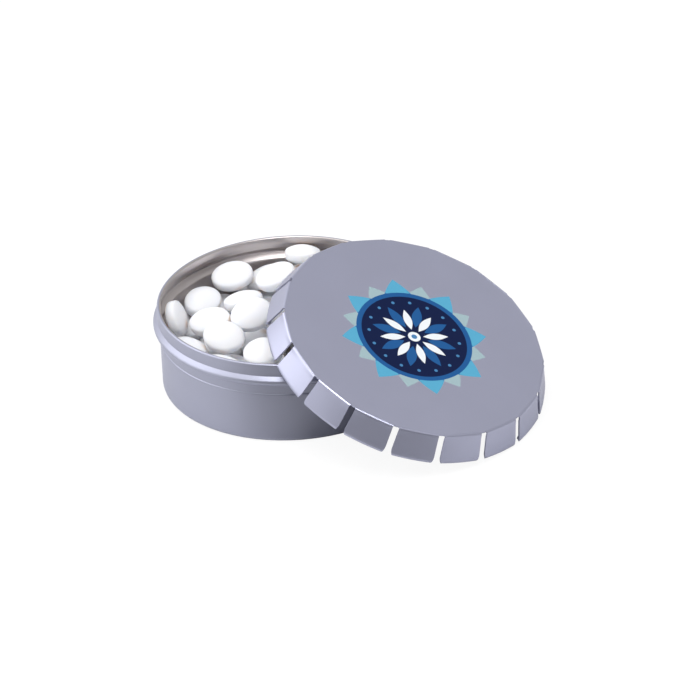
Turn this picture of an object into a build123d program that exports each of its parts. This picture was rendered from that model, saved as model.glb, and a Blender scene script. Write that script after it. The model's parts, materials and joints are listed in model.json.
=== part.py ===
# Round mint tin with a click-open lid, left open: the lid leans on the tin's rim, and mints fill the tin.
# Millimetres, +Z up. The origin is the centre of the tin's base, and +X is the way the lid leans out.
# The lid is one springy stamping. It is made here as a border, a panel and tabs that meet at its creases,
# because those are the lines on which it bends when it clicks.
import math
import os

from build123d import *

# Sheet metal of the tin and the lid
sheet = 0.25

# Tin: drawn in one piece, with a hem at the mouth and a bead under it for the lid's tabs to grip
tin_height = 15.0
neck_diameter = 44.5
hem_depth = 1.3
hem_gap = 0.15
bead_reach = 0.8
bead_drop = 3.2
bead_half_height = 0.95
bead_radius = 0.45
bead_foot_radius = 0.25
bead_peak_share = 0.55
waist_inset = 0.4
body_step = 0.125
step_drop = 6.0
step_height = 0.15
step_radius = 0.1
heel_radius = 0.9
ring_inset = 4.2
ring_top_width = 1.2
ring_side_width = 0.7
ring_height = 0.5
ring_radius = 0.3

# Lid: its tabs clear the bead by their play when it is closed, and its panel starts inside a flat border
tab_count = 18
tab_play = 0.07
crease_radius = 0.3
border_width = 1.64
panel_dish = 0.15
panel_gap = 0.03
click_travel = 0.8
slit_width = 1.05
tab_corner_radius = 1.0
closed_flare = 13.0
click_swing = 9.0
hook_radius = 0.5
hook_turn = 150.0
hook_play = 0.5

# How the open lid lies
lid_overhang = 2.45
lid_side_shift = 1.24
lid_turn = -1.7
rest_gap = 0.03

# Mints
mint_length = 7.4
mint_width = 6.0
mint_thickness = 3.3
mint_edge_radius = 1.4
mint_end_radius = 2.6
mint_gap = 0.08

# A full layer lies in rings, end to end with some room between the mints
layer_room = 0.35
layer_turn = 12.0
layer_slope = 8.0

# Mints of the top layer that lie under the lid: x and y as shares of the inside radius, the turn of the
# long side, the slope and the way it slopes, in degrees. Lower ones come first
sheltered_mint_shares = [
    (0.36, 0.72, 120, 12, 40),
    (0.70, 0.42, 60, 10, 200),
    (0.80, 0.02, 95, 14, 90),
    (0.70, -0.40, 125, 9, 300),
    (0.38, -0.73, 65, 12, 150),
    (0.02, 0.80, 5, 10, 280),
    (0.40, 0.22, 150, 16, 10),
    (0.42, -0.22, 40, 13, 210),
    (0.06, 0.42, 20, 12, 120),
    (0.12, -0.53, 0, 24, 250),
]
# Mints of the top layer beside the lid, in the same form
loose_mint_shares = [
    (-0.79, -0.43, 120, 68, 30),
    (-0.47, -0.70, 150, 12, 60),
    (-0.08, -0.78, 5, 18, 80),
    (-0.80, -0.06, 95, 14, 340),
    (-0.35, 0.74, 155, 12, 120),
    (-0.22, 0.10, 110, 48, 200),
    (-0.52, 0.10, 80, 14, 150),
    (-0.61, 0.53, 60, 18, 200),
    (-0.75, 0.28, 40, 20, 280),
    (-0.52, -0.34, 25, 20, 260),
    (-0.22, -0.20, 60, 34, 300),
    (-0.24, -0.54, 10, 26, 290),
    (-0.38, 0.36, 30, 24, 240),
    (-0.42, 0.80, 150, 16, 120),
]


def show(text, *values):
    """Print a size that the drawing works out."""
    print(text, *[f"{value:.4f}" for value in values])


os.makedirs("parts", exist_ok=True)

# Tin: the middle line of its sheet, from the base's centre out and up to the hem, turned about Z
half_sheet = sheet / 2
neck_line = neck_diameter / 2 - half_sheet
waist_line = neck_line - waist_inset
body_line = waist_line + body_step
bead_crest = neck_line + bead_reach
bead_height = tin_height - bead_drop
step_top = tin_height - step_drop
ring_out = body_line - ring_inset + ring_top_width / 2
ring_in = ring_out - ring_top_width
hem_turn = (sheet + hem_gap) / 2
hem_line = neck_line - 2 * hem_turn
hem_top = tin_height - half_sheet - hem_turn

with BuildPart() as tin_base:
    with BuildSketch(Plane.XZ):
        with BuildLine():
            wall = FilletPolyline(
                (0, half_sheet),
                (ring_in - ring_side_width, half_sheet),
                (ring_in, half_sheet + ring_height),
                (ring_out, half_sheet + ring_height),
                (ring_out + ring_side_width, half_sheet),
                (body_line, half_sheet),
                (body_line, step_top),
                (waist_line, step_top + step_height),
                (waist_line, bead_height - bead_half_height),
                (bead_crest + bead_peak_share * bead_radius, bead_height),
                (neck_line, bead_height + bead_half_height),
                (neck_line, hem_top),
                radius=[
                    ring_radius,
                    ring_radius,
                    ring_radius,
                    ring_radius,
                    heel_radius - half_sheet,
                    step_radius,
                    step_radius,
                    bead_foot_radius,
                    bead_radius,
                    bead_foot_radius,
                ],
            )
            ThreePointArc(
                (neck_line, hem_top),
                (neck_line - hem_turn, hem_top + hem_turn),
                (hem_line, hem_top),
            )
            Line((hem_line, hem_top), (hem_line, tin_height - hem_depth))
        trace(line_width=sheet)
    revolve(axis=Axis.Z)
tin_base.part.label = "tin_base"
export_step(tin_base.part, "parts/tin_base.step")

# Lid: a tab's middle line runs over the crease, down its flared wall and round its hook.
# Depths are measured down from the top of the lid's border
half_pitch = 180 / tab_count
crease_line_radius = crease_radius + half_sheet
crease_depth = crease_radius + sheet
open_flare = closed_flare + click_swing
hook_outer = hook_radius + half_sheet
hook_end_drop = hook_radius * math.sin(math.radians(hook_turn - closed_flare))

# Closed, a tab's wall passes the bead's crest and the end of its hook lies under the bead's foot
closed_out, closed_down = math.cos(math.radians(closed_flare)), math.sin(math.radians(closed_flare))
bead_depth = sheet + bead_drop
closed_hook_depth = bead_depth + bead_half_height + hook_play + half_sheet - hook_end_drop
closed_wall_start = crease_depth - crease_line_radius * closed_down
closed_wall_end = closed_hook_depth - hook_radius * closed_down
wall_length = (closed_wall_end - closed_wall_start) / closed_out
flare_at_bead = (bead_depth - closed_wall_start) * closed_down / closed_out
closed_face = crease_line_radius * closed_out + flare_at_bead - half_sheet / closed_out
lid_crease_apothem = bead_crest + half_sheet + tab_play - closed_face


def tab_points(flare):
    """Give the middle line's points, out from the lid's axis and down, at one flare of the tab."""
    lean = math.radians(flare)
    out, down = math.cos(lean), math.sin(lean)
    half_bend = math.radians((90 + flare) / 2)
    start = (lid_crease_apothem, -crease_depth + crease_line_radius)
    bend = (
        lid_crease_apothem + crease_line_radius * math.cos(half_bend),
        -crease_depth + crease_line_radius * math.sin(half_bend),
    )
    top = (lid_crease_apothem + crease_line_radius * out, -crease_depth + crease_line_radius * down)
    foot = (top[0] + wall_length * down, top[1] - wall_length * out)
    hook_centre = (foot[0] - hook_radius * out, foot[1] - hook_radius * down)
    middle, end = [
        (
            hook_centre[0] + hook_radius * math.cos(math.radians(flare - turn)),
            hook_centre[1] + hook_radius * math.sin(math.radians(flare - turn)),
        )
        for turn in (hook_turn / 2, hook_turn)
    ]
    return start, bend, top, foot, middle, end, hook_centre


start, bend, top, foot, hook_middle, hook_end, hook_centre = tab_points(open_flare)
crease_half_width = lid_crease_apothem * math.tan(math.radians(half_pitch))
tab_half_width = crease_half_width - slit_width / 2
foot_half_width = foot[0] * math.tan(math.radians(half_pitch)) - slit_width / 2

# The open lid leans so that its panel meets the rim and its lowest tabs meet the table
lowest_out = hook_centre[0] * math.cos(math.radians(half_pitch))
lowest_out += (foot_half_width - tab_corner_radius) * math.sin(math.radians(half_pitch))
panel_depth = sheet + panel_dish


def lid_height(lean):
    """Give the height of the lid's centre that sets its panel on the rim."""
    return tin_height + rest_gap + panel_depth / math.cos(lean) - lid_overhang * math.tan(lean)


def tab_clearance(lean):
    """Give the height of the lowest hook over the table."""
    drop = lowest_out * math.sin(lean) - hook_centre[1] * math.cos(lean)
    return lid_height(lean) - drop - hook_outer - rest_gap


steep, shallow = math.radians(60), 0
for halving in range(50):
    lean = (steep + shallow) / 2
    if tab_clearance(lean) > 0:
        shallow = lean
    else:
        steep = lean

lid_centre = Vector(neck_diameter / 2 + lid_overhang, lid_side_shift, lid_height(lean))
lid_normal = Vector(math.sin(lean), 0, math.cos(lean))
downhill = Vector(math.cos(lean), 0, -math.sin(lean))
across = lid_normal.cross(downhill)
show("lid centre", *lid_centre)
show("lean", math.degrees(lean))


def side_plane(turn):
    """Give the plane of a section of the lid: x out from the lid's axis, y along it."""
    angle = math.radians(lid_turn + turn)
    out = downhill * math.cos(angle) + across * math.sin(angle)
    return Plane(lid_centre, x_dir=out, z_dir=out.cross(lid_normal))


panel_side = side_plane(0)
panel_radius = lid_crease_apothem - border_width
with BuildPart() as lid_border:
    with BuildSketch(Plane(lid_centre, x_dir=panel_side.x_dir, z_dir=lid_normal)):
        RegularPolygon(
            radius=lid_crease_apothem, side_count=tab_count, major_radius=False, rotation=0
        )
        Circle(panel_radius + panel_gap, mode=Mode.SUBTRACT)
    extrude(amount=-sheet)
lid_border.part.label = "lid_border"
export_step(lid_border.part, "parts/lid_border.step")

dish_radius = (panel_radius**2 + panel_dish**2) / (2 * panel_dish)
half_turn = math.asin(panel_radius / dish_radius) / 2
dish_middle = (dish_radius * math.sin(half_turn), dish_radius * (1 - math.cos(half_turn)) - panel_dish)

with BuildPart() as lid_panel:
    with BuildSketch(panel_side):
        with BuildLine():
            ThreePointArc((0, -panel_dish), dish_middle, (panel_radius, 0))
            Line((panel_radius, 0), (panel_radius, -sheet))
            ThreePointArc(
                (panel_radius, -sheet),
                (dish_middle[0], dish_middle[1] - sheet),
                (0, -panel_dish - sheet),
            )
            Line((0, -panel_dish - sheet), (0, -panel_dish))
        make_face()
    revolve(axis=Axis(lid_centre, panel_side.y_dir))
lid_panel.part.label = "lid_panel"
export_step(lid_panel.part, "parts/lid_panel.step")

tab_depth = hook_outer - hook_centre[1]
for number in range(tab_count):
    tab_turn = (2 * number + 1) * half_pitch
    tab_side = side_plane(tab_turn)
    tab_face = Plane(lid_centre, x_dir=-tab_side.z_dir, z_dir=tab_side.x_dir)
    with BuildPart() as lid_tab:
        with BuildSketch(tab_side):
            with BuildLine():
                ThreePointArc(start, bend, top)
                Line(top, foot)
                ThreePointArc(foot, hook_middle, hook_end)
            trace(line_width=sheet)
        extrude(amount=foot_half_width, both=True)
        with BuildSketch(tab_face):
            with BuildLine():
                FilletPolyline(
                    (-tab_half_width, 0),
                    (-foot_half_width, -tab_depth),
                    (foot_half_width, -tab_depth),
                    (tab_half_width, 0),
                    radius=tab_corner_radius,
                )
                Line((tab_half_width, 0), (-tab_half_width, 0))
            make_face()
        extrude(amount=neck_diameter, mode=Mode.INTERSECT)
    lid_tab.part.label = f"lid_tab_{number + 1:02d}"
    export_step(lid_tab.part, f"parts/{lid_tab.part.label}.step")

# Mints: a pressed oval of four arcs with soft edges
half_length = mint_length / 2
half_width = mint_width / 2
half_thickness = mint_thickness / 2
end_centre = half_length - mint_end_radius
side_radius = (end_centre**2 + half_width**2 - mint_end_radius**2) / (2 * (half_width - mint_end_radius))
side_centre = side_radius - half_width
arc_join = (
    end_centre + mint_end_radius * end_centre / (side_radius - mint_end_radius),
    mint_end_radius * side_centre / (side_radius - mint_end_radius),
)

with BuildPart() as pastille:
    with BuildSketch():
        with BuildLine():
            ThreePointArc((arc_join[0], -arc_join[1]), (half_length, 0), arc_join)
            ThreePointArc(arc_join, (0, half_width), (-arc_join[0], arc_join[1]))
            ThreePointArc((-arc_join[0], arc_join[1]), (-half_length, 0), (-arc_join[0], -arc_join[1]))
            ThreePointArc((-arc_join[0], -arc_join[1]), (0, -half_width), (arc_join[0], -arc_join[1]))
        make_face()
    extrude(amount=half_thickness, both=True)
    fillet(pastille.edges(), radius=mint_edge_radius)

# A mint is as good as a set of balls of its edge radius, so where it comes to rest follows from theirs
ball_reach = half_thickness - mint_edge_radius
ball_rings = [(0, 1), (1 / 3, 6), (2 / 3, 12), (1, 20)]
ball_places = []
for share, count in ball_rings:
    for step in range(count):
        angle = 2 * math.pi * step / count
        across = share * (half_length - mint_edge_radius) * math.cos(angle)
        along = share * (half_width - mint_edge_radius) * math.sin(angle)
        ball_places += [Vector(across, along, ball_reach), Vector(across, along, -ball_reach)]

inside_radius = hem_line - half_sheet
ball_span = 2 * mint_edge_radius + mint_gap
ball_limit = inside_radius - mint_edge_radius - mint_gap
ring_zone = (ring_in - ring_side_width - mint_edge_radius, ring_out + ring_side_width + mint_edge_radius)
resting_balls = []
resting_places = []


def drop(x, y, turn, slope, slope_way):
    """Lower one mint at (x, y) until it rests on the floor or on the mints below, and give its plane."""
    steepness, way, spin = [math.radians(angle) for angle in (slope, slope_way, turn)]
    normal = Vector(
        math.sin(steepness) * math.cos(way), math.sin(steepness) * math.sin(way), math.cos(steepness)
    )
    heading = Vector(math.cos(spin), math.sin(spin), 0)
    long_side = (heading - normal * heading.dot(normal)).normalized()
    short_side = normal.cross(long_side)
    balls = [long_side * p.X + short_side * p.Y + normal * p.Z for p in ball_places]
    # A mint that would reach into the wall is drawn in towards the middle
    for draw in range(3):
        reach = max(math.hypot(x + ball.X, y + ball.Y) for ball in balls)
        if reach > ball_limit:
            shift = (reach - ball_limit) / math.hypot(x, y)
            x, y = x - x * shift, y - y * shift
    height = 0
    for ball in balls:
        from_axis = math.hypot(x + ball.X, y + ball.Y)
        floor = sheet + ring_height if ring_zone[0] < from_axis < ring_zone[1] else sheet
        height = max(height, floor + mint_gap + mint_edge_radius - ball.Z)
    for place, others in zip(resting_places, resting_balls):
        if math.hypot(place[0] - x, place[1] - y) > mint_length + mint_gap:
            continue
        for ball in balls:
            for other in others:
                gap = (x + ball.X - other.X) ** 2 + (y + ball.Y - other.Y) ** 2
                if gap < ball_span**2:
                    height = max(height, other.Z + math.sqrt(ball_span**2 - gap) - ball.Z)
    centre = Vector(x, y, height)
    resting_places.append((x, y))
    resting_balls.append([centre + ball for ball in balls])
    return Plane(centre, x_dir=long_side, z_dir=normal)


def full_layer(level):
    """Give the planes of one layer of mints that covers the whole tin, laid in rings."""
    radius = inside_radius - half_width - mint_gap
    ring = 0
    planes = []
    while radius > half_width:
        count = int(2 * math.pi * radius / (mint_length + layer_room))
        for place in range(count):
            angle = 360 * place / count + layer_turn * (2 * level + ring)
            slope = layer_slope * abs(math.sin(place + 2 * ring + level)) * level
            x = radius * math.cos(math.radians(angle))
            y = radius * math.sin(math.radians(angle))
            planes.append(drop(x, y, angle + 90, slope, angle * (place + 2)))
        radius -= mint_width + mint_gap
        ring += 1
    return planes


def table_planes(table):
    """Give the planes of the mints in a table of shares."""
    return [drop(x * inside_radius, y * inside_radius, *angles) for x, y, *angles in table]


for label, planes in [
    ("mints_bottom", full_layer(0)),
    ("mints_middle", full_layer(1)),
    ("mints_under_lid", table_planes(sheltered_mint_shares)),
]:
    with BuildPart() as layer:
        with Locations(*[Location(plane) for plane in planes]):
            add(pastille.part)
    layer.part.label = label
    export_step(layer.part, f"parts/{label}.step")
    show(label + " top", layer.part.bounding_box().max.Z)

for number, plane in enumerate(table_planes(loose_mint_shares)):
    with BuildPart() as mint:
        with Locations(Location(plane)):
            add(pastille.part)
    mint.part.label = f"mint_{number + 1:02d}"
    export_step(mint.part, f"parts/{mint.part.label}.step")
    show(mint.part.label + " top", mint.part.bounding_box().max.Z)
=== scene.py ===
# A round click-lid mint tin, standing open: its lid leans on the rim, and oval mints fill it.
import json
import math

import bmesh
import bpy
import numpy as np
from mathutils import Matrix, Vector


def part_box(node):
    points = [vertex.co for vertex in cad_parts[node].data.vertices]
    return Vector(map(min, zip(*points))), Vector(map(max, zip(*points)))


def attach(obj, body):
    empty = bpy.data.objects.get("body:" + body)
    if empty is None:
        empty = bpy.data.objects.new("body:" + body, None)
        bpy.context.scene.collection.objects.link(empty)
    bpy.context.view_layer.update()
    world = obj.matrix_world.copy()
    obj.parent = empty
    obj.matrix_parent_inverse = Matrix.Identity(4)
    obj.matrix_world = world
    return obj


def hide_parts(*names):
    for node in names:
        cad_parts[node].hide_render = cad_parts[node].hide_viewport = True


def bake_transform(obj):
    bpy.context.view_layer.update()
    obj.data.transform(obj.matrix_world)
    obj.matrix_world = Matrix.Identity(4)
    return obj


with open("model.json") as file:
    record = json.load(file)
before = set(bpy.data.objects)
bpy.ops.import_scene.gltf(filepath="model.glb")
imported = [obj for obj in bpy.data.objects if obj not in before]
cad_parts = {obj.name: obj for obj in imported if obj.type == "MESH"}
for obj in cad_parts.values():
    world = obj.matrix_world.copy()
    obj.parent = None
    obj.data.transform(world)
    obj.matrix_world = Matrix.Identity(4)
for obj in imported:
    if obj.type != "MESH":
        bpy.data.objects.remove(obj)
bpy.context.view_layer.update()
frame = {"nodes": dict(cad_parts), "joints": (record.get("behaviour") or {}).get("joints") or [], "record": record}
MM = 0.001
scene = bpy.context.scene
scene.view_settings.view_transform = "Standard"


# Camera: a long lens on a stand in front of the tin and to its right, looking down at it.
# It is rolled a little, as a camera held by hand is.
camera_place = Vector((510.2, -684.0, 495.1)) * MM
camera_turn = math.radians(36.056)
camera_drop = math.radians(29.897)
camera_roll = math.radians(-2.663)
camera_lens = 299.64

ahead = Vector((
    -math.sin(camera_turn) * math.cos(camera_drop),
    math.cos(camera_turn) * math.cos(camera_drop),
    -math.sin(camera_drop),
))
level = ahead.cross(Vector((0, 0, 1))).normalized()
upright = level.cross(ahead)
across = level * math.cos(camera_roll) + upright * math.sin(camera_roll)
up = upright * math.cos(camera_roll) - level * math.sin(camera_roll)
camera_data = bpy.data.cameras.new("camera")
camera_data.lens = camera_lens
camera_data.clip_end = 20
camera = bpy.data.objects.new("camera", camera_data)
camera.matrix_world = Matrix.Translation(camera_place) @ Matrix((across, up, -ahead)).transposed().to_4x4()
scene.collection.objects.link(camera)
scene.camera = camera


# Tin: one piece of tinplate, deep drawn, with a ring stamped in its base, a fine step in its wall,
# a bead rolled out under the mouth and a hem folded in at the rim. Satin silver lacquer outside and in.
def new_material(name):
    """Give a new node material and its shader, ready for links."""
    material = bpy.data.materials.new(name)
    material.use_nodes = True
    return material, material.node_tree, material.node_tree.nodes["Principled BSDF"]


def ink(red, green, blue):
    """Give a screen colour, 0 to 255, as the linear colour that a shader takes."""
    shares = [value / 255 for value in (red, green, blue)]
    return tuple(v / 12.92 if v <= 0.04045 else ((v + 0.055) / 1.055) ** 2.4 for v in shares) + (1,)


def rounded_line(points, radii, steps=8):
    """Give a line through the points with its inner corners rounded to the radii."""
    line = [Vector(points[0])]
    for before, corner, after, radius in zip(points, points[1:], points[2:], radii):
        corner = Vector(corner)
        back = (Vector(before) - corner).normalized()
        on = (Vector(after) - corner).normalized()
        half = back.angle(on) / 2
        reach = radius / math.tan(half)
        centre = corner + (back + on).normalized() * (radius / math.sin(half))
        first, last = corner + back * reach - centre, corner + on * reach - centre
        sweep = first.angle_signed(last)
        for step in range(steps + 1):
            turned = first.copy()
            turned.rotate(Matrix.Rotation(-sweep * step / steps, 2))
            line.append(centre + turned)
    line.append(Vector(points[-1]))
    return line


def arc(centre, radius, start, turn, steps):
    """Give the points of an arc, without its first, angles in degrees."""
    angles = [math.radians(start + turn * (step + 1) / steps) for step in range(steps)]
    return [Vector((centre[0] + radius * math.cos(a), centre[1] + radius * math.sin(a))) for a in angles]


def sheet_outline(line, thickness):
    """Give both sides of a sheet whose middle line this is: the left side, then the right side."""
    left, right = [], []
    for place, point in enumerate(line):
        before = line[max(place - 1, 0)]
        after = line[min(place + 1, len(line) - 1)]
        along = (after - before).normalized()
        aside = Vector((-along.y, along.x)) * thickness / 2
        left.append(point + aside)
        right.append(point - aside)
    return left, right


def mesh_object(name, verts, faces, smooth_angle=40):
    """Make an object of these points and faces, shaded smooth up to an angle."""
    mesh = bpy.data.meshes.new(name)
    mesh.from_pydata([tuple(v) for v in verts], [], faces)
    work = bmesh.new()
    work.from_mesh(mesh)
    bmesh.ops.remove_doubles(work, verts=work.verts, dist=0.00001 * MM)
    bmesh.ops.recalc_face_normals(work, faces=work.faces)
    work.to_mesh(mesh)
    work.free()
    mesh.shade_smooth()
    mesh.set_sharp_from_angle(angle=math.radians(smooth_angle))
    made = bpy.data.objects.new(name, mesh)
    scene.collection.objects.link(made)
    return made


def turned_object(name, outline, turns):
    """Make a closed turned piece from a closed outline of (radius, height), about Z."""
    verts, faces = [], []
    for turn in range(turns):
        angle = 2 * math.pi * turn / turns
        verts += [(p[0] * math.cos(angle), p[0] * math.sin(angle), p[1]) for p in outline]
    count = len(outline)
    for turn in range(turns):
        here, there = turn * count, (turn + 1) % turns * count
        for place in range(count):
            after = (place + 1) % count
            faces.append((here + place, there + place, there + after, here + after))
    return mesh_object(name, verts, faces)


sheet = 0.25 * MM
_, tin_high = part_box("tin_base")
tin_height = tin_high.z
bead_crest = tin_high.x - sheet / 2
neck_radius, waist_radius, body_radius = 22.25 * MM, 21.85 * MM, 21.975 * MM
neck_line = neck_radius - sheet / 2
waist_line = waist_radius - sheet / 2
body_line = body_radius - sheet / 2
bead_drop, step_drop = 3.2 * MM, 6.0 * MM
bead_height = tin_height - bead_drop
bead_half_height = 0.95 * MM
step_height = tin_height - step_drop
step_rise = 0.15 * MM
hem_turn = 0.2 * MM
hem_depth = 1.3 * MM
ring_in, ring_out = 17.15 * MM, 18.35 * MM
ring_side = 0.7 * MM
ring_height = 0.5 * MM
bead_radius = 0.45 * MM
bead_bulge = 0.55
ring_bend, foot_bend, step_bend, neck_bend = 0.3 * MM, 0.775 * MM, 0.24 * MM, 0.25 * MM
hem_top = tin_height - sheet / 2 - hem_turn

wall_points = [
    (0, sheet / 2),
    (ring_in - ring_side, sheet / 2),
    (ring_in, sheet / 2 + ring_height),
    (ring_out, sheet / 2 + ring_height),
    (ring_out + ring_side, sheet / 2),
    (body_line, sheet / 2),
    (body_line, step_height),
    (waist_line, step_height + step_rise),
    (waist_line, bead_height - bead_half_height),
    (bead_crest + bead_bulge * bead_radius, bead_height),
    (neck_line, bead_height + bead_half_height),
    (neck_line, hem_top),
]
wall_radii = [ring_bend] * 4 + [foot_bend, step_bend, step_bend, neck_bend, bead_radius, neck_bend]
wall_line = rounded_line(wall_points, wall_radii)
wall_line += arc((neck_line - hem_turn, hem_top), hem_turn, 0, 180, 10)
wall_line.append(Vector((neck_line - 2 * hem_turn, tin_height - hem_depth)))
left, right = sheet_outline(wall_line, sheet)
tin_shell = turned_object("tin_shell", left + right[::-1], 192)


def socket(tree, kind, name, way, default=None):
    """Add a named socket to a node group."""
    made = tree.interface.new_socket(name=name, in_out=way, socket_type=kind)
    if default is not None:
        made.default_value = default
    return made


def satin_group():
    """Build the satin finish of lacquered tinplate: faint cloudiness and a fine orange-peel grain."""
    tree = bpy.data.node_groups.new("satin_tinplate", "ShaderNodeTree")
    socket(tree, "NodeSocketColor", "Colour", "INPUT", (0.6, 0.6, 0.7, 1))
    socket(tree, "NodeSocketFloat", "Gloss Change", "INPUT", 0.05)
    socket(tree, "NodeSocketFloat", "Roughness", "INPUT", 0.35)
    socket(tree, "NodeSocketFloat", "Grain", "INPUT", 1.0)
    socket(tree, "NodeSocketColor", "Colour", "OUTPUT")
    socket(tree, "NodeSocketFloat", "Roughness", "OUTPUT")
    socket(tree, "NodeSocketFloat", "Height", "OUTPUT")
    nodes, links = tree.nodes, tree.links
    given, result = nodes.new("NodeGroupInput"), nodes.new("NodeGroupOutput")
    place = nodes.new("ShaderNodeTexCoord")
    cloud = nodes.new("ShaderNodeTexNoise")
    cloud.inputs["Scale"].default_value = 120
    cloud.inputs["Detail"].default_value = 4
    grain = nodes.new("ShaderNodeTexNoise")
    grain.inputs["Scale"].default_value = 9000
    grain.inputs["Detail"].default_value = 2
    for texture in (cloud, grain):
        links.new(place.outputs["Object"], texture.inputs["Vector"])
    shade = nodes.new("ShaderNodeMapRange")
    shade.inputs["To Min"].default_value = 0.96
    shade.inputs["To Max"].default_value = 1.03
    links.new(cloud.outputs["Fac"], shade.inputs["Value"])
    tint = nodes.new("ShaderNodeVectorMath")
    tint.operation = "SCALE"
    links.new(given.outputs["Colour"], tint.inputs[0])
    links.new(shade.outputs["Result"], tint.inputs["Scale"])
    links.new(tint.outputs["Vector"], result.inputs["Colour"])
    change = nodes.new("ShaderNodeMath")
    change.operation = "MULTIPLY_ADD"
    links.new(cloud.outputs["Fac"], change.inputs[0])
    links.new(given.outputs["Gloss Change"], change.inputs[1])
    links.new(given.outputs["Roughness"], change.inputs[2])
    links.new(change.outputs["Value"], result.inputs["Roughness"])
    height = nodes.new("ShaderNodeMath")
    height.operation = "MULTIPLY"
    links.new(grain.outputs["Fac"], height.inputs[0])
    links.new(given.outputs["Grain"], height.inputs[1])
    links.new(height.outputs["Value"], result.inputs["Height"])
    return tree


satin = satin_group()
metal_share = 0.85


def satin_material(name, colour, roughness):
    """Make a lacquered tinplate material and give it with its satin node."""
    material, tree, shader = new_material(name)
    finish = tree.nodes.new("ShaderNodeGroup")
    finish.node_tree = satin
    finish.inputs["Colour"].default_value = colour
    finish.inputs["Roughness"].default_value = roughness
    tree.links.new(finish.outputs["Colour"], shader.inputs["Base Color"])
    tree.links.new(finish.outputs["Roughness"], shader.inputs["Roughness"])
    bump = tree.nodes.new("ShaderNodeBump")
    bump.inputs["Strength"].default_value = 0.15
    bump.inputs["Distance"].default_value = 0.004 * MM
    tree.links.new(finish.outputs["Height"], bump.inputs["Height"])
    tree.links.new(bump.outputs["Normal"], shader.inputs["Normal"])
    shader.inputs["Metallic"].default_value = metal_share
    return material, finish


tin_material, _ = satin_material("satin_tin", ink(172, 174, 192), 0.4)
tin_shell.data.materials.append(tin_material)
inner_material, _ = satin_material("inner_lacquer", ink(198, 191, 190), 0.3)
tin_shell.data.materials.append(inner_material)
for face in tin_shell.data.polygons:
    from_axis = math.hypot(face.center.x, face.center.y)
    facing = face.normal.x * face.center.x + face.normal.y * face.center.y
    above_base = face.center.z > sheet / 2 and face.normal.z > 0.5 and from_axis < body_line - sheet
    if facing < -0.2 * from_axis or above_base:
        face.material_index = 1
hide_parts("tin_base")
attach(tin_shell, "tin")


# Lid: one stamping of springy tinplate. The flat border and the shallow dish of the panel are its face,
# and eighteen tabs fold down at straight creases, so that the face is an eighteen-sided plate.
joints = {joint["name"]: joint for joint in frame["joints"]}
lid_normal = Vector(joints["lid_click"]["axis"]).normalized()
border_low, border_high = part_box("lid_border")
lid_centre = (border_low + border_high) / 2 + lid_normal * sheet / 2
tab_bends = [joints[name] for name in sorted(joints) if name.endswith("_bend")]
tab_count = len(tab_bends)
first_across = Vector(tab_bends[0]["axis"]).normalized()
first_out = first_across.cross(lid_normal)
crease_apothem = (Vector(tab_bends[0]["pos_m"]) - lid_centre).dot(first_out)
crease_bend = 0.3 * MM
crease_line_radius = crease_bend + sheet / 2
crease_depth = crease_bend + sheet
panel_radius = 20.5 * MM
panel_dish = 0.15 * MM
half_pitch = math.pi / tab_count
steps_per_tab = 8
lid_turns = tab_count * steps_per_tab


def lid_point(radius, angle, height):
    """Give a point of the lid from its distance out, its angle from the first tab and its height."""
    side = lid_normal.cross(first_out)
    return lid_centre + (first_out * math.cos(angle) + side * math.sin(angle)) * radius + lid_normal * height


def crease_reach(angle):
    """Give how far out the creases lie at an angle."""
    return crease_apothem / math.cos((angle + half_pitch) % (2 * half_pitch) - half_pitch)


def dish(radius):
    """Give the height of the dished panel's face at a radius."""
    return -panel_dish * (1 - (radius / panel_radius) ** 2) ** 2


def plate(name, rings, low, high):
    """Make a closed plate on the lid from rings of (reach, height), low and high its two faces."""
    verts, faces = [], []
    angles = [2 * math.pi * turn / lid_turns for turn in range(lid_turns)]
    for level in (high, low):
        for reach, height in rings:
            verts += [lid_point(reach(a), a, height + level) for a in angles]
    count = len(rings)
    for side in range(2):
        for ring in range(count - 1):
            here, there = (side * count + ring) * lid_turns, (side * count + ring + 1) * lid_turns
            for turn in range(lid_turns):
                on = (turn + 1) % lid_turns
                faces.append((here + turn, here + on, there + on, there + turn))
    for ring in (0, count - 1):
        here, there = ring * lid_turns, (count + ring) * lid_turns
        for turn in range(lid_turns):
            on = (turn + 1) % lid_turns
            faces.append((here + turn, here + on, there + on, there + turn))
    return mesh_object(name, verts, faces)


def ring_at(radius, height=0.0):
    """Give a round ring of the lid."""
    return (lambda angle: radius), height


border_rings = [ring_at(panel_radius), ring_at((panel_radius + crease_apothem) / 2)]
border_rings.append((crease_reach, 0.0))
lid_edge = plate("lid_edge", border_rings, -sheet, 0)

skin = 0.02 * MM
panel_steps = 24
panel_rings = []
for step in range(panel_steps + 1):
    radius = panel_radius * max(step / panel_steps, 0.002)
    panel_rings.append(ring_at(radius, dish(radius)))
lid_face = plate("lid_face", panel_rings, -skin, 0)
lid_back = plate("lid_back", panel_rings, -sheet, skin - sheet)

lid_material, _ = satin_material("satin_lid", ink(182, 184, 206), 0.33)
for piece in (lid_edge, lid_back):
    piece.data.materials.append(lid_material)
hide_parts("lid_border")
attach(lid_edge, "lid")
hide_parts("lid_panel")
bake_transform(lid_face)
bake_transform(lid_back)


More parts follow.
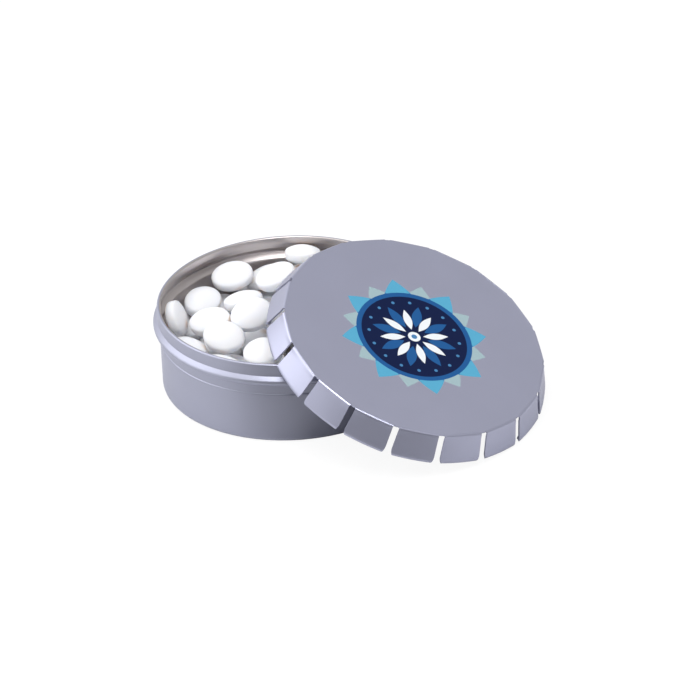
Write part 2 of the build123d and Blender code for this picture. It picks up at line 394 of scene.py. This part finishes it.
# Print: a round rosette printed in five inks on the middle of the lid, under the same satin lacquer.
# The ink hides the metal, so it shines less. Its places are in millimetres from the lid's centre.
petal_count = 8
outer_petal = (2.0, 13.2, 3.3)
between_petal = (3.0, 12.5, 2.9)
rim_radius, disc_radius = 10.1, 9.2
white_petal = (1.5, 6.3, 0.78)
blue_petal = (2.2, 7.4, 0.95)
dot_place, dot_size = 7.9, 0.3
eye_radius, pupil_radius = 1.1, 0.5
blur = 0.06
ink_hides = 0.8
navy, mid_blue, steel_blue = ink(6, 24, 66), ink(30, 88, 148), ink(72, 130, 180)
light_blue, pale, paper = ink(88, 168, 202), ink(160, 184, 190), ink(236, 240, 244)

side_way = lid_normal.cross(first_out)
place_layer = lid_face.data.attributes.new("lid_place", "FLOAT_VECTOR", "POINT")
for vertex, place in zip(lid_face.data.vertices, place_layer.data):
    offset = vertex.co - lid_centre
    place.vector = (offset.dot(first_out) / MM, offset.dot(side_way) / MM, 0)

print_material, print_finish = satin_material("printed_lid", ink(182, 184, 206), 0.33)
print_tree = print_material.node_tree
print_shader = print_tree.nodes["Principled BSDF"]


def calc(operation, *values):
    """Add one sum to the print's shader and give its result."""
    node = print_tree.nodes.new("ShaderNodeMath")
    node.operation = operation
    for slot, value in zip(node.inputs, values):
        if isinstance(value, (int, float)):
            slot.default_value = value
        else:
            print_tree.links.new(value, slot)
    return node.outputs["Value"]


def far(aside, along):
    """Give how far a place lies from a point, from its two offsets."""
    return calc("SQRT", calc("ADD", calc("MULTIPLY", aside, aside), calc("MULTIPLY", along, along)))


def inside(depth):
    """Give 1 where a depth is over 0, with a soft edge."""
    return calc("MINIMUM", calc("MAXIMUM", calc("MULTIPLY_ADD", depth, 1 / blur, 0.5), 0), 1)


def petal(turn_share, start, end, width):
    """Give the mask of lens-shaped petals between two radii, turned by a share of their pitch."""
    pitch = 2 * math.pi / petal_count
    turned = calc("ADD", badge_angle, pitch * turn_share)
    offset = calc("ABSOLUTE", calc("WRAP", turned, pitch / 2, -pitch / 2))
    along = calc("DIVIDE", calc("SUBTRACT", badge_reach, start), end - start)
    held = calc("MINIMUM", calc("MAXIMUM", along, 0), 1)
    half = calc("MULTIPLY_ADD", calc("SINE", calc("MULTIPLY", held, math.pi)), width, -blur)
    return inside(calc("SUBTRACT", half, calc("MULTIPLY", offset, badge_reach)))


place_node = print_tree.nodes.new("ShaderNodeAttribute")
place_node.attribute_name = "lid_place"
split = print_tree.nodes.new("ShaderNodeSeparateXYZ")
print_tree.links.new(place_node.outputs["Vector"], split.inputs[0])
badge_x, badge_y = split.outputs[0], split.outputs[1]
badge_reach = far(badge_x, badge_y)
badge_angle = calc("ARCTAN2", badge_y, badge_x)
dot_pitch = math.pi / petal_count
dot_turn = calc("WRAP", calc("ADD", badge_angle, dot_pitch / 2), dot_pitch / 2, -dot_pitch / 2)
dot_aside = calc("MULTIPLY", dot_turn, dot_place)
dot_along = calc("SUBTRACT", badge_reach, dot_place)
dot_far = far(dot_aside, dot_along)
between = petal(0.5, *between_petal)
outer = petal(0, *outer_petal)
rim = inside(calc("SUBTRACT", rim_radius, badge_reach))
layers = [
    (between, pale),
    (outer, light_blue),
    (calc("MULTIPLY", between, outer), steel_blue),
    (rim, mid_blue),
    (inside(calc("SUBTRACT", disc_radius, badge_reach)), navy),
    (inside(calc("SUBTRACT", dot_size, dot_far)), steel_blue),
    (petal(0.5, *blue_petal), mid_blue),
    (petal(0, *white_petal), paper),
    (inside(calc("SUBTRACT", eye_radius, badge_reach)), paper),
    (inside(calc("SUBTRACT", pupil_radius, badge_reach)), steel_blue),
]
inked = calc("MAXIMUM", calc("MAXIMUM", between, outer), rim)
below = print_finish.outputs["Colour"]
for mask, colour in layers:
    mix = print_tree.nodes.new("ShaderNodeMix")
    mix.data_type = "RGBA"
    mix.inputs["B"].default_value = colour
    print_tree.links.new(mask, mix.inputs["Factor"])
    print_tree.links.new(below, mix.inputs["A"])
    below = mix.outputs["Result"]
print_tree.links.new(below, print_shader.inputs["Base Color"])
print_tree.links.new(calc("MULTIPLY_ADD", inked, -ink_hides, metal_share), print_shader.inputs["Metallic"])
print_shader.inputs["Specular IOR Level"].default_value = 0.12
lid_face.data.materials.append(print_material)


# Tabs: eighteen leaves of the same stamping, bent down over the crease, flared, and curled in at the
# foot into a hook that grips under the tin's bead. The slits between them end in a small round.
open_flare = 22.0
wall_length = 4.226 * MM
hook_radius = 0.5 * MM
hook_turn = 150.0
slit_width = 1.05 * MM
slit_round = 0.35 * MM
foot_corner = 1.0 * MM
curl_corner, curl_corner_length = 1.7 * MM, 2.0 * MM
leaf_curve = 0.2 * MM
edge_radius = 0.035 * MM

bend_turn = 90 - open_flare
leaf_line = [Vector((0, crease_depth - sheet / 2))]
leaf_line += arc((0, 0), crease_line_radius, 90, -bend_turn, 14)
lean = math.radians(open_flare)
wall_way = Vector((math.sin(lean), -math.cos(lean)))
wall_steps = 14
wall_top = leaf_line[-1]
leaf_line += [wall_top + wall_way * wall_length * (step + 1) / wall_steps for step in range(wall_steps)]
hook_centre = leaf_line[-1] - Vector((math.cos(lean), math.sin(lean))) * hook_radius
leaf_line += arc(hook_centre, hook_radius, open_flare, -hook_turn, 14)
leaf_depth = hook_radius + sheet / 2 - hook_centre.y
root_half_width = crease_apothem * math.tan(half_pitch) - slit_width / 2
foot_out = crease_apothem + wall_top.x + wall_way.x * wall_length
foot_half_width = foot_out * math.tan(half_pitch) - slit_width / 2
lengths = [0.0]
for before, after in zip(leaf_line, leaf_line[1:]):
    lengths.append(lengths[-1] + (after - before).length)


def leaf_reach(length, depth):
    """Give a leaf's half width: wider at its root and towards its foot, with rounded corners."""
    down_share = (depth + crease_depth) / (leaf_depth + crease_depth)
    reach = root_half_width + (foot_half_width - root_half_width) * down_share
    if length < slit_round:
        reach += slit_round - math.sqrt(slit_round**2 - (slit_round - length) ** 2)
    near_foot = max(1 - (leaf_depth - depth) / foot_corner, 0)
    near_end = max(1 - (lengths[-1] - length) / curl_corner_length, 0)
    foot_cut = foot_corner * (1 - math.sqrt(max(1 - near_foot**2, 0)))
    end_cut = curl_corner * (1 - math.sqrt(1 - near_end**2))
    return reach - max(foot_cut, end_cut)


def applied(piece):
    """Give the piece with its modifiers made part of its mesh."""
    ready = bpy.data.meshes.new_from_object(piece.evaluated_get(bpy.context.evaluated_depsgraph_get()))
    piece.modifiers.clear()
    piece.data = ready
    return piece


leaf_columns = [-1, -0.96, -0.8, -0.4, 0, 0.4, 0.8, 0.96, 1]
for number, bend in enumerate(tab_bends):
    tab_name = f"lid_tab_{number + 1:02d}"
    tangent = Vector(bend["axis"]).normalized()
    out = tangent.cross(lid_normal)
    hinge = Vector(bend["pos_m"])
    left, right = sheet_outline(leaf_line, sheet)
    verts, faces = [], []
    columns = len(leaf_columns)
    rows = len(leaf_line)
    for side in (left, right):
        for point, length in zip(side, lengths):
            reach = leaf_reach(length, -point.y)
            bowed = leaf_curve * min(length / slit_width, 1)
            for column in leaf_columns:
                inward = bowed * (column * reach / foot_half_width) ** 2
                place = out * (point.x - inward) + tangent * column * reach
                verts.append(hinge + place + lid_normal * point.y)
    for side in range(2):
        for row in range(rows - 1):
            for column in range(columns - 1):
                here = (side * rows + row) * columns + column
                faces.append((here, here + 1, here + columns + 1, here + columns))
    other = rows * columns
    for row in range(rows - 1):
        for column in (0, columns - 1):
            here = row * columns + column
            faces.append((here, here + columns, here + columns + other, here + other))
    for row in (0, rows - 1):
        for column in range(columns - 1):
            here = row * columns + column
            faces.append((here, here + 1, here + 1 + other, here + other))
    leaf = mesh_object(f"leaf_{number + 1:02d}", verts, faces)
    edge_round = leaf.modifiers.new("edge_round", "BEVEL")
    edge_round.width = edge_radius
    edge_round.segments = 2
    edge_round.angle_limit = math.radians(60)
    applied(leaf)
    leaf.data.materials.append(lid_material)
    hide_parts(tab_name)
    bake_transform(leaf)


# Mints: pressed sugar ovals with domed faces, a soft edge and a powdery, faintly pitted surface.
# They lie where they were tipped in, each on those below it.
def islands(node):
    """Give the separate solids of a node, each as its faces' middles and areas and its points."""
    mesh = frame["nodes"][node].data
    place = {}
    for vertex in mesh.vertices:
        place[vertex.index] = tuple(round(x / MM, 3) for x in vertex.co)
    parent = {}

    def root(key):
        while parent.setdefault(key, key) != key:
            parent[key] = parent[parent[key]]
            key = parent[key]
        return key

    for face in mesh.polygons:
        keys = [place[v] for v in face.vertices]
        for key in keys[1:]:
            parent[root(key)] = root(keys[0])
    groups = {}
    for face in mesh.polygons:
        groups.setdefault(root(place[face.vertices[0]]), []).append(face.index)
    return mesh, [groups[key] for key in sorted(groups)]


def mint_frame(mesh, faces):
    """Give a mint's centre, its three half sizes and its axes, longest first."""
    centres = np.array([mesh.polygons[f].center for f in faces])
    areas = np.array([mesh.polygons[f].area for f in faces])
    corners = np.array([mesh.vertices[v].co for f in faces for v in mesh.polygons[f].vertices])
    middle = (corners.min(0) + corners.max(0)) / 2
    offsets = centres - middle
    spread = (offsets * areas[:, None]).T @ offsets
    axes = np.linalg.eigh(spread)[1][:, ::-1].T
    reach = np.abs((corners - middle) @ axes.T).max(0)
    return middle, reach, axes


mint_turns = 40
mint_band = 0.42
mint_fit = 0.99
mint_size_share, mint_uneven_share = 0.985, 0.008
cap_steps = 9
cap_end = 0.94
mint_profile = [(0.002, 1.0)]
for step in range(1, cap_steps + 1):
    out_share = cap_end * step / cap_steps
    mint_profile.append((out_share, mint_band + (1 - mint_band) * (1 - out_share**2.1)))
mint_profile += [(0.966, 0.42), (0.985, 0.32), (0.997, 0.18), (1.0, 0.0)]
mint_profile += [(out_share, -rise) for out_share, rise in mint_profile[-2::-1]]


def mint_mesh(name, solids, mesh, seed):
    """Make the domed pastilles that stand in the places of a node's solids."""
    verts, faces = [], []
    draw = np.random.default_rng(seed)
    levels = len(mint_profile)
    for solid in solids:
        middle, reach, axes = mint_frame(mesh, solid)
        start = len(verts)
        wobble = draw.uniform(0, 2 * math.pi, 2)
        for level, (out_share, rise) in enumerate(mint_profile):
            for turn in range(mint_turns):
                angle = 2 * math.pi * turn / mint_turns
                wave = mint_uneven_share * math.sin(2 * angle + wobble[0]) * math.sin(level / 3 + wobble[1])
                uneven = mint_size_share + wave
                along = out_share * math.cos(angle) * reach[0] * uneven
                aside = out_share * math.sin(angle) * reach[1] * uneven
                place = middle + axes[0] * along + axes[1] * aside
                verts.append(place + axes[2] * rise * reach[2] * mint_fit)
        for level in range(levels - 1):
            for turn in range(mint_turns):
                on = (turn + 1) % mint_turns
                here, there = start + level * mint_turns, start + (level + 1) * mint_turns
                faces.append((here + turn, here + on, there + on, there + turn))
        faces.append(tuple(start + turn for turn in range(mint_turns)))
        faces.append(tuple(start + (levels - 1) * mint_turns + turn for turn in range(mint_turns)))
    return mesh_object(name, verts, faces, 180)


mint_material, mint_tree, mint_shader = new_material("pressed_sugar")
mint_shader.inputs["Roughness"].default_value = 0.6
mint_shader.inputs["Subsurface Weight"].default_value = 0.5
mint_shader.inputs["Subsurface Radius"].default_value = (1.0, 0.9, 0.8)
mint_shader.inputs["Subsurface Scale"].default_value = 1.4 * MM
mint_place = mint_tree.nodes.new("ShaderNodeTexCoord")
powder = mint_tree.nodes.new("ShaderNodeTexNoise")
powder.inputs["Scale"].default_value = 5000
powder.inputs["Detail"].default_value = 5
mint_bump = mint_tree.nodes.new("ShaderNodeBump")
mint_bump.inputs["Strength"].default_value = 0.3
mint_bump.inputs["Distance"].default_value = 0.03 * MM
mint_tree.links.new(mint_place.outputs["Object"], powder.inputs["Vector"])
mint_tree.links.new(powder.outputs["Fac"], mint_bump.inputs["Height"])
mint_tree.links.new(mint_bump.outputs["Normal"], mint_shader.inputs["Normal"])

# Painted shade: where neighbouring mints or the tin crowd a mint, its base colour goes from its own near-white
# towards a warm brown, a painted warm shadow in the crevices between mints.
painted_shade_occlusion = mint_tree.nodes.new("ShaderNodeAmbientOcclusion")
painted_shade_occlusion.inputs["Distance"].default_value = 1.6 * MM
painted_shade_factor = mint_tree.nodes.new("ShaderNodeMapRange")
painted_shade_factor.inputs["From Min"].default_value = 0.1
painted_shade_factor.inputs["From Max"].default_value = 0.6
painted_crevice_shade_mix = mint_tree.nodes.new("ShaderNodeMix")
painted_crevice_shade_mix.data_type = "RGBA"
painted_crevice_shade_mix.inputs["A"].default_value = ink(226, 196, 168)
painted_crevice_shade_mix.inputs["B"].default_value = ink(240, 241, 245)
mint_tree.links.new(painted_shade_occlusion.outputs["AO"], painted_shade_factor.inputs["Value"])
mint_tree.links.new(painted_shade_factor.outputs["Result"], painted_crevice_shade_mix.inputs["Factor"])
mint_tree.links.new(painted_crevice_shade_mix.outputs["Result"], mint_shader.inputs["Base Color"])

mint_nodes = sorted(name for name in frame["nodes"] if name.startswith("mint"))
for seed, node in enumerate(mint_nodes):
    cad_mesh, solids = islands(node)
    mints = mint_mesh(f"sweet_{node}", solids, cad_mesh, seed)
    mints.data.materials.append(mint_material)
    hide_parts(node)
    body = next(b for b, members in frame["record"]["behaviour"]["bodies"].items() if node in members)
    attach(mints, body)


# Stage: a plain white table and white surroundings, with soft lamps over it. The camera's side of the room is
# darker, and the room shines back darker from there. In reflections only, the table is painted darker than its own
# white, more so towards the camera's side: a painted reflection.
floor_mesh = bpy.data.meshes.new("floor")
floor_reach = 3.0
floor_mesh.from_pydata(
    [(-floor_reach, -floor_reach, 0), (floor_reach, -floor_reach, 0),
     (floor_reach, floor_reach, 0), (-floor_reach, floor_reach, 0)], [], [(0, 1, 2, 3)])
floor = bpy.data.objects.new("floor", floor_mesh)
floor.location.z = -0.02 * MM
scene.collection.objects.link(floor)
floor_material, floor_tree, floor_shader = new_material("white_table")
floor_shader.inputs["Roughness"].default_value = 0.9
seen = floor_tree.nodes.new("ShaderNodeLightPath")
dark_side = Vector((0.55, -0.82, -0.1)).normalized()
dark_start, dark_end = 0.5, 0.92
# Painted reflection: the table's colour as glossy rays see it, going from the bright level to the dark one towards
# the camera's side; other rays see its own white tone.
table_tone, painted_reflection_bright, painted_reflection_dark = 0.9, 0.72, 0.25
table_glow, glow_share = 1.04, 0.88
came = floor_tree.nodes.new("ShaderNodeNewGeometry")
to_dark = floor_tree.nodes.new("ShaderNodeVectorMath")
to_dark.operation = "DOT_PRODUCT"
to_dark.inputs[1].default_value = -dark_side
floor_tree.links.new(came.outputs["Incoming"], to_dark.inputs[0])
painted_reflection_tone = floor_tree.nodes.new("ShaderNodeMapRange")
painted_reflection_tone.interpolation_type = "SMOOTHSTEP"
painted_reflection_tone.inputs["From Min"].default_value = dark_start
painted_reflection_tone.inputs["From Max"].default_value = dark_end
painted_reflection_tone.inputs["To Min"].default_value = painted_reflection_bright
painted_reflection_tone.inputs["To Max"].default_value = painted_reflection_dark
floor_tree.links.new(to_dark.outputs["Value"], painted_reflection_tone.inputs["Value"])
table_and_painted_reflection_tone = floor_tree.nodes.new("ShaderNodeMix")
table_and_painted_reflection_tone.inputs["A"].default_value = table_tone
floor_tree.links.new(seen.outputs["Is Glossy Ray"], table_and_painted_reflection_tone.inputs["Factor"])
floor_tree.links.new(painted_reflection_tone.outputs["Result"], table_and_painted_reflection_tone.inputs["B"])
floor_tree.links.new(table_and_painted_reflection_tone.outputs["Result"], floor_shader.inputs["Base Color"])
glow = floor_tree.nodes.new("ShaderNodeEmission")
glow.inputs["Strength"].default_value = table_glow
share = floor_tree.nodes.new("ShaderNodeMath")
share.operation = "MULTIPLY"
share.inputs[1].default_value = glow_share
mix = floor_tree.nodes.new("ShaderNodeMixShader")
floor_out = floor_tree.nodes["Material Output"]
floor_tree.links.new(seen.outputs["Is Camera Ray"], share.inputs[0])
floor_tree.links.new(share.outputs["Value"], mix.inputs["Fac"])
floor_tree.links.new(floor_shader.outputs["BSDF"], mix.inputs[1])
floor_tree.links.new(glow.outputs["Emission"], mix.inputs[2])
floor_tree.links.new(mix.outputs["Shader"], floor_out.inputs["Surface"])
floor_mesh.materials.append(floor_material)

world = bpy.data.worlds.new("surroundings")
scene.world = world
world.use_nodes = True
world_tree = world.node_tree
world_way = world_tree.nodes.new("ShaderNodeTexCoord")
room_level, left_gain, dark_gain, back_gain = 0.47, 0.45, -0.4, 0.12


def glow_from(way, start, end, gain, base):
    """Add a smooth patch of light or dark to the room, round a direction."""
    dot = world_tree.nodes.new("ShaderNodeVectorMath")
    dot.operation = "DOT_PRODUCT"
    dot.inputs[1].default_value = way.normalized()
    world_tree.links.new(world_way.outputs["Generated"], dot.inputs[0])
    patch = world_tree.nodes.new("ShaderNodeMapRange")
    patch.interpolation_type = "SMOOTHSTEP"
    patch.inputs["From Min"].default_value = start
    patch.inputs["From Max"].default_value = end
    patch.inputs["To Max"].default_value = gain
    world_tree.links.new(dot.outputs["Value"], patch.inputs["Value"])
    total = world_tree.nodes.new("ShaderNodeMath")
    if isinstance(base, float):
        total.inputs[1].default_value = base
    else:
        world_tree.links.new(base, total.inputs[1])
    world_tree.links.new(patch.outputs["Result"], total.inputs[0])
    return total.outputs["Value"]


level_now = glow_from(Vector((-0.85, -0.35, 0.25)), 0.1, 0.9, left_gain, room_level)
level_now = glow_from(dark_side, dark_start, dark_end, dark_gain, level_now)
level_now = glow_from(Vector((0.03, 0.70, 0.71)), 0.6, 1.0, back_gain, level_now)
plain = world_tree.nodes["Background"]
world_tree.links.new(level_now, plain.inputs["Strength"])
plain.inputs["Color"].default_value = (1, 1, 1, 1)
bright = world_tree.nodes.new("ShaderNodeBackground")
bright.inputs["Color"].default_value = (1, 1, 1, 1)
bright.inputs["Strength"].default_value = 1.0
world_seen = world_tree.nodes.new("ShaderNodeLightPath")
world_mix = world_tree.nodes.new("ShaderNodeMixShader")
world_tree.links.new(world_seen.outputs["Is Camera Ray"], world_mix.inputs["Fac"])
world_tree.links.new(plain.outputs["Background"], world_mix.inputs[1])
world_tree.links.new(bright.outputs["Background"], world_mix.inputs[2])
world_tree.links.new(world_mix.outputs["Shader"], world_tree.nodes["World Output"].inputs["Surface"])


def lamp(name, place, size, power):
    """Hang a soft square lamp that points at the tin."""
    data = bpy.data.lights.new(name, "AREA")
    data.size = size
    data.energy = power
    made = bpy.data.objects.new(name, data)
    made.location = place
    made.rotation_euler = (Vector((0.01, 0, 0.01)) - made.location).to_track_quat("-Z", "Y").to_euler()
    scene.collection.objects.link(made)
    return made


lamp("key_lamp", Vector((-0.6, -0.3, 0.5)), 0.8, 3.0)
lamp("top_lamp", Vector((0.18, -0.25, 0.85)), 0.5, 4.5)
